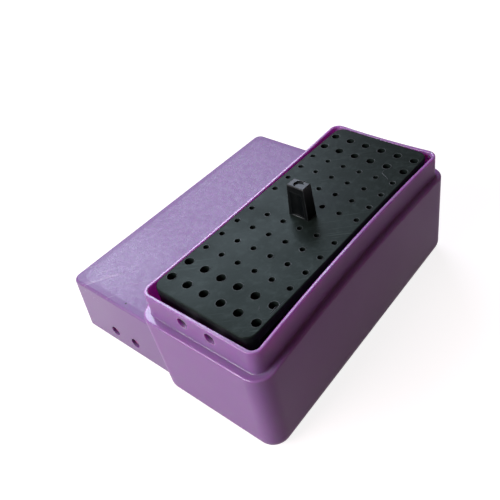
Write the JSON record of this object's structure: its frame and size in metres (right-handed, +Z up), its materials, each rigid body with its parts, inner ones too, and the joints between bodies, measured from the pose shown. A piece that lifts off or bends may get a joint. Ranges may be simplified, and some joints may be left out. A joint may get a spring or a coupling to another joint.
{
  "type": "dental bur block",
  "caption": "Moulded case for dental burs: drilled black rack with a lifting post inside, steam vents at both ends, and a lift-off cover standing open side down beside it.",
  "frame": {"origin": "middle of the case's flat underside", "axes": "+Z up out of the case; +Y along the case's long side, away from the end nearest the viewer in the picture; +X across it, so the cover stands on the -X side"},
  "size_m": [0.0913, 0.1058, 0.0541],
  "materials": {
    "mauve_shell": "satin, faintly translucent moulded plastic with a fine matt grain on the cover's top",
    "black_plate": "semi-gloss moulded plastic with fine scuffs and light burrs round the holes",
    "black_post": "smooth gloss moulded plastic"
  },
  "bodies": {
    "root": {"case": "mauve_shell", "cover": "mauve_shell", "rack": "black_plate", "socket_plate": "black_plate", "handle": "black_post"}
  },
  "joints": []
}
